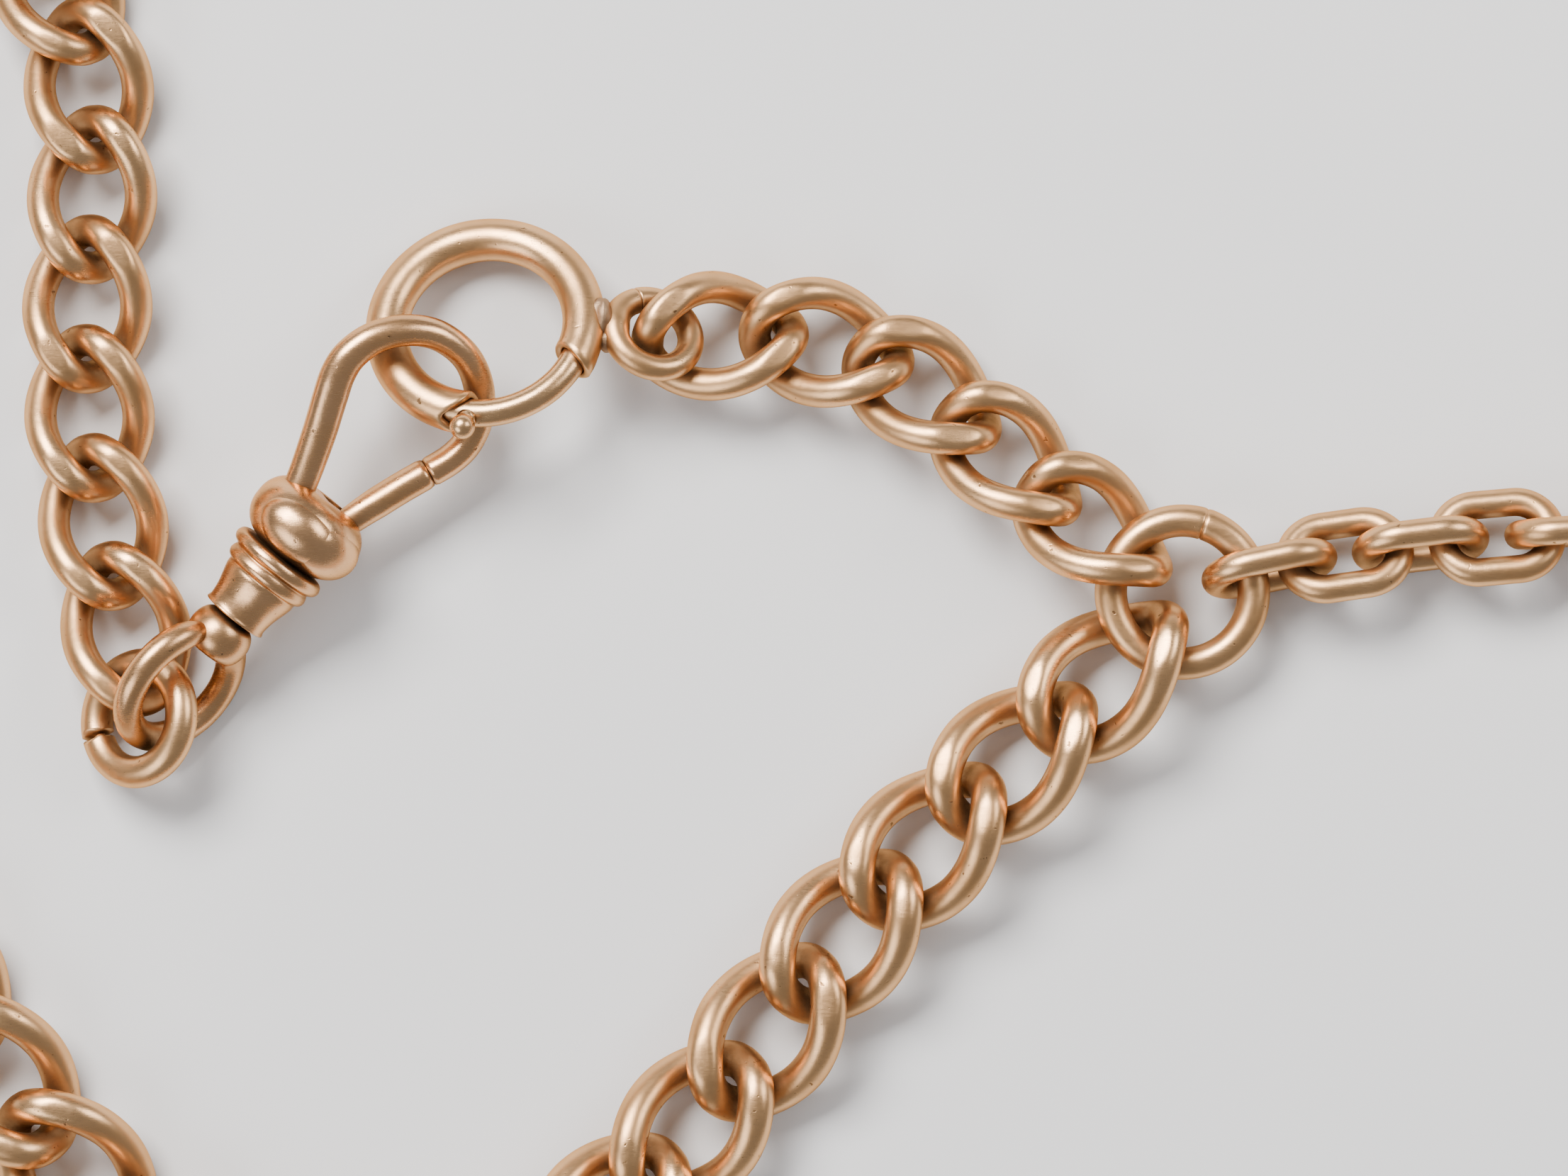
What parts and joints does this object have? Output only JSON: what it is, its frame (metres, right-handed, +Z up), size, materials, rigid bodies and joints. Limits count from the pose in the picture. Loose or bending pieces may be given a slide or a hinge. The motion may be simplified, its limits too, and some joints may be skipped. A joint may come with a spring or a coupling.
{
  "type": "pocket watch chain",
  "caption": "Graduated curb pocket watch chain with a bolt ring, a swivel clip and a short trace chain with a T-bar, lying flat and closed on itself.",
  "frame": {"origin": "middle of the bounding box, on the table the chain lies on", "axes": "+X from the swivel clip towards the T-bar, +Z up from the table"},
  "size_m": [0.1115, 0.079, 0.0078],
  "materials": {
    "gold": "satin, worn",
    "pale_gold": "satin, worn",
    "dark_gold": "tarnished",
    "steel": "plain"
  },
  "bodies": {
    "centre_ring": {"centre_ring": "gold"},
    "upper_link_1": {"upper_link_1": "gold"},
    "upper_link_2": {"upper_link_2": "gold"},
    "upper_link_3": {"upper_link_3": "gold"},
    "upper_link_4": {"upper_link_4": "gold"},
    "upper_link_5": {"upper_link_5": "gold"},
    "bolt_ring": {"bolt_ring_tube": "gold", "bolt_ring_eye": "gold", "bolt_ring_spring": "steel"},
    "bolt_ring_tongue": {"bolt_ring_tongue": "pale_gold", "bolt_ring_knob": "pale_gold"},
    "long_link_1": {"long_link_1": "gold"},
    "long_link_2": {"long_link_2": "gold"},
    "long_link_3": {"long_link_3": "gold"},
    "long_link_4": {"long_link_4": "gold"},
    "long_link_5": {"long_link_5": "gold"},
    "long_link_6": {"long_link_6": "gold"},
    "long_link_7": {"long_link_7": "gold"},
    "long_link_8": {"long_link_8": "gold"},
    "long_link_9": {"long_link_9": "gold"},
    "long_link_10": {"long_link_10": "gold"},
    "long_link_11": {"long_link_11": "gold"},
    "long_link_12": {"long_link_12": "gold"},
    "long_link_13": {"long_link_13": "gold"},
    "long_link_14": {"long_link_14": "gold"},
    "long_link_15": {"long_link_15": "gold"},
    "long_link_16": {"long_link_16": "gold"},
    "long_link_17": {"long_link_17": "gold"},
    "long_link_18": {"long_link_18": "gold"},
    "long_link_19": {"long_link_19": "gold"},
    "long_link_20": {"long_link_20": "gold"},
    "long_link_21": {"long_link_21": "gold"},
    "long_link_22": {"long_link_22": "gold"},
    "long_link_23": {"long_link_23": "gold"},
    "long_link_24": {"long_link_24": "gold"},
    "long_link_25": {"long_link_25": "gold"},
    "long_link_26": {"long_link_26": "gold"},
    "long_link_27": {"long_link_27": "gold"},
    "long_link_28": {"long_link_28": "gold"},
    "long_link_29": {"long_link_29": "gold"},
    "long_link_30": {"long_link_30": "gold"},
    "long_link_31": {"long_link_31": "gold"},
    "long_link_32": {"long_link_32": "gold"},
    "long_link_33": {"long_link_33": "gold"},
    "long_link_34": {"long_link_34": "gold"},
    "end_ring": {"end_ring": "gold"},
    "swivel": {"swivel_rivet": "dark_gold", "bow_ring": "gold"},
    "clip": {"hook_frame": "gold", "clip_body": "gold", "swivel_collar": "gold", "gate_pin": "dark_gold", "gate_spring": "steel"},
    "gate": {"gate": "pale_gold"},
    "trace_link_1": {"trace_link_1": "gold"},
    "trace_link_2": {"trace_link_2": "gold"},
    "trace_link_3": {"trace_link_3": "gold"},
    "trace_link_4": {"trace_link_4": "gold"},
    "trace_link_5": {"trace_link_5": "gold"},
    "t_bar": {"t_bar": "gold"}
  },
  "joints": [
    {"name": "upper_link_1_turn", "type": "hinge", "parent": "centre_ring", "child": "upper_link_1", "pos_m": [0.02471, 0.00219, 0.0024], "axis": [-0.9698, 0.2357, 0.0621], "range_deg": [-4, 8]},
    {"name": "upper_link_2_turn", "type": "hinge", "parent": "upper_link_1", "child": "upper_link_2", "pos_m": [0.02105, 0.00476, 0.0024], "axis": [0.9803, -0.1844, -0.0703], "range_deg": [-8, 5]},
    {"name": "upper_link_3_turn", "type": "hinge", "parent": "upper_link_2", "child": "upper_link_3", "pos_m": [0.01704, 0.00834, 0.0024], "axis": [-0.9933, 0.0811, 0.082], "range_deg": [-5, 8]},
    {"name": "upper_link_4_turn", "type": "hinge", "parent": "upper_link_3", "child": "upper_link_4", "pos_m": [0.01268, 0.01148, 0.0024], "axis": [0.9942, 0.044, -0.0983], "range_deg": [-8, 2]},
    {"name": "upper_link_5_turn", "type": "hinge", "parent": "upper_link_4", "child": "upper_link_5", "pos_m": [0.00748, 0.01287, 0.0024], "axis": [-0.9824, -0.1374, 0.1268], "range_deg": [-4, 8]},
    {"name": "bolt_ring_turn", "type": "hinge", "parent": "upper_link_5", "child": "bolt_ring", "pos_m": [0.00213, 0.01238, 0.0028], "axis": [0.9758, 0.1585, -0.1505], "range_deg": [-8, 2]},
    {"name": "tongue_slide", "type": "hinge", "parent": "bolt_ring", "child": "bolt_ring_tongue", "pos_m": [-0.00663, 0.01304, 0.00341], "axis": [-0.0976, 0.4592, 0.8829], "range_deg": [0, 60], "stiffness_Nm_per_rad": 0.002, "springref_deg": -17.19},
    {"name": "long_link_1_turn", "type": "hinge", "parent": "centre_ring", "child": "long_link_1", "pos_m": [0.02529, -0.0027, 0.0022], "axis": [-0.9329, 0.3543, 0.0641], "range_deg": [-7, 8]},
    {"name": "long_link_2_turn", "type": "hinge", "parent": "long_link_1", "child": "long_link_2", "pos_m": [0.02155, -0.00607, 0.00195], "axis": [0.8795, -0.47, -0.0748], "range_deg": [-8, 8]},
    {"name": "long_link_3_turn", "type": "hinge", "parent": "long_link_2", "child": "long_link_3", "pos_m": [0.01706, -0.01011, 0.00195], "axis": [-0.7871, 0.6118, 0.0783], "range_deg": [-8, 8]},
    {"name": "long_link_4_turn", "type": "hinge", "parent": "long_link_3", "child": "long_link_4", "pos_m": [0.01286, -0.01446, 0.00195], "axis": [0.6646, -0.743, -0.0785], "range_deg": [-8, 8]},
    {"name": "long_link_5_turn", "type": "hinge", "parent": "long_link_4", "child": "long_link_5", "pos_m": [0.00898, -0.01908, 0.00195], "axis": [-0.5275, 0.8462, 0.0755], "range_deg": [-8, 8]},
    {"name": "long_link_6_turn", "type": "hinge", "parent": "long_link_5", "child": "long_link_6", "pos_m": [0.00543, -0.02397, 0.00195], "axis": [0.3956, -0.9157, -0.0701], "range_deg": [-8, 8]},
    {"name": "long_link_7_turn", "type": "hinge", "parent": "long_link_6", "child": "long_link_7", "pos_m": [0.00147, -0.02853, 0.00195], "axis": [-0.2691, 0.9609, 0.065], "range_deg": [-8, 8]},
    {"name": "long_link_8_turn", "type": "hinge", "parent": "long_link_7", "child": "long_link_8", "pos_m": [-0.00288, -0.03273, 0.00195], "axis": [0.1503, -0.9868, -0.0602], "range_deg": [-8, 8]},
    {"name": "long_link_9_turn", "type": "hinge", "parent": "long_link_8", "child": "long_link_9", "pos_m": [-0.00821, -0.03556, 0.00195], "axis": [-0.0271, 0.998, 0.0572], "range_deg": [-6, 7]},
    {"name": "long_link_10_turn", "type": "hinge", "parent": "long_link_9", "child": "long_link_10", "pos_m": [-0.01422, -0.03619, 0.00195], "axis": [-0.1011, -0.9933, -0.0561], "range_deg": [-7, 5]},
    {"name": "long_link_11_turn", "type": "hinge", "parent": "long_link_10", "child": "long_link_11", "pos_m": [-0.01999, -0.03443, 0.00195], "axis": [0.2278, 0.972, 0.0571], "range_deg": [-8, 8]},
    {"name": "long_link_12_turn", "type": "hinge", "parent": "long_link_11", "child": "long_link_12", "pos_m": [-0.02482, -0.03079, 0.00195], "axis": [-0.3479, -0.9356, -0.0598], "range_deg": [-8, 8]},
    {"name": "long_link_13_turn", "type": "hinge", "parent": "long_link_12", "child": "long_link_13", "pos_m": [-0.02878, -0.02623, 0.00195], "axis": [0.4645, 0.8833, 0.0634], "range_deg": [-8, 8]},
    {"name": "long_link_14_turn", "type": "hinge", "parent": "long_link_13", "child": "long_link_14", "pos_m": [-0.03225, -0.02129, 0.00195], "axis": [-0.5812, -0.811, -0.0673], "range_deg": [-8, 8]},
    {"name": "long_link_15_turn", "type": "hinge", "parent": "long_link_14", "child": "long_link_15", "pos_m": [-0.03553, -0.01622, 0.00195], "axis": [0.6966, 0.714, 0.0705], "range_deg": [-8, 8]},
    {"name": "long_link_16_turn", "type": "hinge", "parent": "long_link_15", "child": "long_link_16", "pos_m": [-0.03874, -0.0111, 0.00195], "axis": [-0.8026, -0.5922, -0.0723], "range_deg": [-8, 8]},
    {"name": "long_link_17_turn", "type": "hinge", "parent": "long_link_16", "child": "long_link_17", "pos_m": [-0.04185, -0.00592, 0.00195], "axis": [0.8895, 0.4511, 0.0725], "range_deg": [-8, 8]},
    {"name": "long_link_18_turn", "type": "hinge", "parent": "long_link_17", "child": "long_link_18", "pos_m": [-0.04487, -0.00069, 0.00195], "axis": [-0.9511, -0.3006, -0.0709], "range_deg": [-8, 8]},
    {"name": "long_link_19_turn", "type": "hinge", "parent": "long_link_18", "child": "long_link_19", "pos_m": [-0.0477, 0.00464, 0.00195], "axis": [0.9862, 0.1511, 0.068], "range_deg": [-8, 8]},
    {"name": "long_link_20_turn", "type": "hinge", "parent": "long_link_19", "child": "long_link_20", "pos_m": [-0.05016, 0.01016, 0.00195], "axis": [-0.9979, -0.0083, -0.0647], "range_deg": [-8, 8]},
    {"name": "long_link_21_turn", "type": "hinge", "parent": "long_link_20", "child": "long_link_21", "pos_m": [-0.05192, 0.01594, 0.00195], "axis": [0.99, -0.1268, 0.0615], "range_deg": [-8, 8]},
    {"name": "long_link_22_turn", "type": "hinge", "parent": "long_link_21", "child": "long_link_22", "pos_m": [-0.05254, 0.02183, 0.00195], "axis": [-0.9654, 0.254, -0.0591], "range_deg": [-8, 8]},
    {"name": "long_link_23_turn", "type": "hinge", "parent": "long_link_22", "child": "long_link_23", "pos_m": [-0.05153, 0.02756, 0.00195], "axis": [0.9251, -0.3752, 0.058], "range_deg": [-4, 8]},
    {"name": "long_link_24_turn", "type": "hinge", "parent": "long_link_23", "child": "long_link_24", "pos_m": [-0.04859, 0.03246, 0.00195], "axis": [-0.8706, 0.4885, -0.0587], "range_deg": [-4, 0]},
    {"name": "long_link_25_turn", "type": "hinge", "parent": "long_link_24", "child": "long_link_25", "pos_m": [-0.04401, 0.03567, 0.00195], "axis": [0.8067, -0.5877, 0.0616], "range_deg": [0, 4]},
    {"name": "long_link_26_turn", "type": "hinge", "parent": "long_link_25", "child": "long_link_26", "pos_m": [-0.03862, 0.03671, 0.00195], "axis": [-0.742, 0.667, -0.0671], "range_deg": [-5, 0]},
    {"name": "long_link_27_turn", "type": "hinge", "parent": "long_link_26", "child": "long_link_27", "pos_m": [-0.03339, 0.0355, 0.00195], "axis": [0.6893, -0.7205, 0.076], "range_deg": [-5, 8]},
    {"name": "long_link_28_turn", "type": "hinge", "parent": "long_link_27", "child": "long_link_28", "pos_m": [-0.02909, 0.03227, 0.00195], "axis": [-0.667, 0.7397, -0.0896], "range_deg": [-8, 7]},
    {"name": "long_link_29_turn", "type": "hinge", "parent": "long_link_28", "child": "long_link_29", "pos_m": [-0.02649, 0.02757, 0.00195], "axis": [0.702, -0.7038, 0.1088], "range_deg": [-7, 8]},
    {"name": "long_link_30_turn", "type": "hinge", "parent": "long_link_29", "child": "long_link_30", "pos_m": [-0.02583, 0.02223, 0.00195], "axis": [-0.8059, 0.5777, -0.1299], "range_deg": [-8, 8]},
    {"name": "long_link_31_turn", "type": "hinge", "parent": "long_link_30", "child": "long_link_31", "pos_m": [-0.02611, 0.01686, 0.00195], "axis": [0.924, -0.3532, 0.1464], "range_deg": [-8, 8]},
    {"name": "long_link_32_turn", "type": "hinge", "parent": "long_link_31", "child": "long_link_32", "pos_m": [-0.0263, 0.01149, 0.00195], "axis": [-0.9863, 0.0581, -0.1545], "range_deg": [-8, 8]},
    {"name": "long_link_33_turn", "type": "hinge", "parent": "long_link_32", "child": "long_link_33", "pos_m": [-0.02593, 0.00613, 0.00195], "axis": [0.9551, 0.2536, 0.1531], "range_deg": [-8, 8]},
    {"name": "long_link_34_turn", "type": "hinge", "parent": "long_link_33", "child": "long_link_34", "pos_m": [-0.02499, 0.00084, 0.00195], "axis": [-0.8403, -0.523, -0.1428], "range_deg": [-8, 8]},
    {"name": "end_ring_turn", "type": "hinge", "parent": "long_link_34", "child": "end_ring", "pos_m": [-0.02389, -0.00358, 0.00187], "axis": [0.7094, 0.692, 0.1335], "range_deg": [-8, 8]},
    {"name": "bow_ring_turn", "type": "hinge", "parent": "end_ring", "child": "swivel", "pos_m": [-0.02259, -0.00529, 0.00291], "axis": [-0.6371, -0.7664, -0.0816], "range_deg": [-8, 8]},
    {"name": "swivel_turn", "type": "hinge", "parent": "swivel", "child": "clip", "pos_m": [-0.00946, 0.0105, 0.00459], "axis": [0.628, 0.7755, 0.0645], "range_deg": [-3, 40]},
    {"name": "gate_turn", "type": "hinge", "parent": "clip", "child": "gate", "pos_m": [-0.01456, 0.00237, 0.00343], "axis": [0.2916, -0.3114, 0.9044], "range_deg": [0, 20], "stiffness_Nm_per_rad": 0.003, "springref_deg": -11.46},
    {"name": "trace_link_1_turn", "type": "hinge", "parent": "centre_ring", "child": "trace_link_1", "pos_m": [0.03083, 0.001, 0.0025], "axis": [-0.2079, 0.9781, 0], "range_deg": [-20, 20]},
    {"name": "trace_link_2_turn", "type": "hinge", "parent": "trace_link_1", "child": "trace_link_2", "pos_m": [0.03357, 0.00159, 0.0025], "axis": [0, 0, 1], "range_deg": [-17, 17]},
    {"name": "trace_link_3_turn", "type": "hinge", "parent": "trace_link_2", "child": "trace_link_3", "pos_m": [0.0373, 0.00211, 0.0025], "axis": [-0.1219, 0.9925, 0], "range_deg": [-20, 10]},
    {"name": "trace_link_4_turn", "type": "hinge", "parent": "trace_link_3", "child": "trace_link_4", "pos_m": [0.04103, 0.00257, 0.0025], "axis": [0, 0, 1], "range_deg": [-17, 20]},
    {"name": "trace_link_5_turn", "type": "hinge", "parent": "trace_link_4", "child": "trace_link_5", "pos_m": [0.04477, 0.0029, 0.0025], "axis": [-0.0698, 0.9976, 0], "range_deg": [-9, 17]},
    {"name": "t_bar_turn", "type": "hinge", "parent": "trace_link_5", "child": "t_bar", "pos_m": [0.04853, 0.00316, 0.0024], "axis": [0, 0, 1], "range_deg": [-18, 16]}
  ]
}
